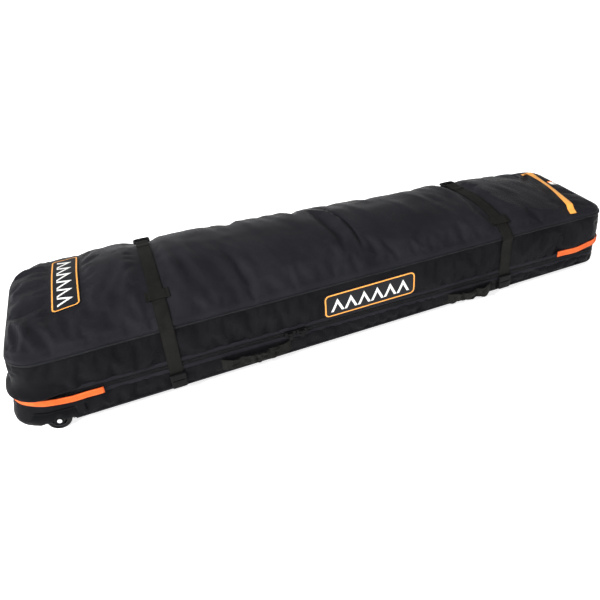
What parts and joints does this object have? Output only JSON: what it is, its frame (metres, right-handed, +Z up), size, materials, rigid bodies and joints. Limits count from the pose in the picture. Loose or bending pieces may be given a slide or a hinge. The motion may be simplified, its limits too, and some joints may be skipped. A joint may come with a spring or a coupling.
{
  "type": "wheeled snowboard bag",
  "caption": "Long padded board bag with a zipped lid hinged along the back, compression straps, carrying handles and in-line wheels at one end.",
  "frame": {"origin": "on the floor under the middle of the bag", "axes": "+X along the bag away from the wheels, the zip's opening side at -Y, +Z up"},
  "size_m": [1.706, 0.5073, 0.273],
  "materials": {
    "padded_cloth": "woven polyester over foam",
    "coated_cloth": "smooth coated cloth",
    "webbing_black": "ribbed webbing",
    "piping_black": "woven tape over cord",
    "zip_coil": "moulded nylon coil",
    "board": "plain sheet",
    "plastic_black": "moulded, fine texture",
    "steel": "zinc plated",
    "webbing_orange": "ribbed webbing",
    "webbing_amber": "ribbed webbing",
    "badge": "printed patch",
    "label": "satin label",
    "tyre": "polyurethane",
    "rim": "moulded"
  },
  "bodies": {
    "tub": {"base_panel": "padded_cloth", "base_board": "board", "lower_wall": "padded_cloth", "bottom_piping": "piping_black", "corner_guard": "coated_cloth", "zip_tape_lower": "webbing_black", "zip_coil_lower": "zip_coil", "hinge_tape": "webbing_black", "wheel_housing_front": "plastic_black", "wheel_housing_back": "plastic_black", "axle_front": "steel", "axle_back": "steel", "housing_screws": "steel", "wheel_end_handle": "webbing_orange", "strap_tabs": "webbing_black", "buckle_socket_wheel_end": "plastic_black", "buckle_socket_far_end": "plastic_black", "rear_straps_lower": "webbing_black", "carry_handle_anchors": "webbing_black"},
    "lid": {"top_panel": "padded_cloth", "upper_wall": "padded_cloth", "top_piping": "piping_black", "zip_tape_upper": "webbing_black", "zip_coil_upper": "zip_coil", "far_end_handle": "webbing_orange", "top_badge": "badge", "side_badge": "badge", "label_tag": "label", "strap_keepers": "webbing_black", "strap_wheel_end": "webbing_black", "strap_far_end": "webbing_black", "strap_adjuster_wheel_end": "plastic_black", "strap_adjuster_far_end": "plastic_black", "buckle_clip_wheel_end": "plastic_black", "buckle_clip_far_end": "plastic_black", "grab_handle_anchors": "webbing_amber"},
    "wheel_front": {"tyre_front": "tyre", "rim_front": "rim", "bearings_front": "steel"},
    "wheel_back": {"tyre_back": "tyre", "rim_back": "rim", "bearings_back": "steel"},
    "slider_wheel_end": {"zip_slider_wheel_end": "plastic_black"},
    "pull_wheel_end": {"zip_pull_wheel_end": "plastic_black"},
    "slider_far_end": {"zip_slider_far_end": "plastic_black"},
    "pull_far_end": {"zip_pull_far_end": "plastic_black"},
    "carry_wheel_end": {"carry_handle_wheel_end": "webbing_black"},
    "carry_far_end": {"carry_handle_far_end": "webbing_black"},
    "grab": {"grab_handle": "webbing_amber"}
  },
  "joints": [
    {"name": "lid_hinge", "type": "hinge", "parent": "tub", "child": "lid", "pos_m": [0, 0.2165, 0.084], "axis": [-0.9988, 0.0441, 0.022], "range_deg": [0, 105]},
    {"name": "wheel_front_spin", "type": "hinge", "parent": "tub", "child": "wheel_front", "pos_m": [-0.762, -0.228, 0.0295], "axis": [0, 1, 0], "continuous": true},
    {"name": "wheel_back_spin", "type": "hinge", "parent": "tub", "child": "wheel_back", "pos_m": [-0.762, 0.228, 0.0295], "axis": [0, 1, 0], "continuous": true},
    {"name": "slider_wheel_end_slide", "type": "slide", "parent": "tub", "child": "slider_wheel_end", "axis": [-0.9988, -0.0441, 0.022], "range_m": [0, 0.268]},
    {"name": "pull_wheel_end_swing", "type": "hinge", "parent": "slider_wheel_end", "child": "pull_wheel_end", "pos_m": [-0.16524, -0.2314, 0.08965], "axis": [-0.9988, -0.0441, 0.022], "range_deg": [0, 150]},
    {"name": "slider_far_end_slide", "type": "slide", "parent": "tub", "child": "slider_far_end", "axis": [0.9988, 0.0441, -0.022], "range_m": [0, 0.59]},
    {"name": "pull_far_end_swing", "type": "hinge", "parent": "slider_far_end", "child": "pull_far_end", "pos_m": [-0.13328, -0.22999, 0.08895], "axis": [-0.9988, -0.0441, 0.022], "range_deg": [0, 150]},
    {"name": "carry_wheel_end_swing", "type": "hinge", "parent": "tub", "child": "carry_wheel_end", "pos_m": [-0.25917, -0.23695, 0.054], "axis": [-0.999, -0.0441, 0], "range_deg": [0, 75]},
    {"name": "carry_far_end_swing", "type": "hinge", "parent": "tub", "child": "carry_far_end", "pos_m": [0.3842, -0.20856, 0.0445], "axis": [-0.999, -0.0441, 0], "range_deg": [0, 75]},
    {"name": "grab_swing", "type": "hinge", "parent": "lid", "child": "grab", "pos_m": [0.738, -0.148, 0.218], "axis": [-0.1704, -0.9854, 0], "range_deg": [0, 66]}
  ]
}
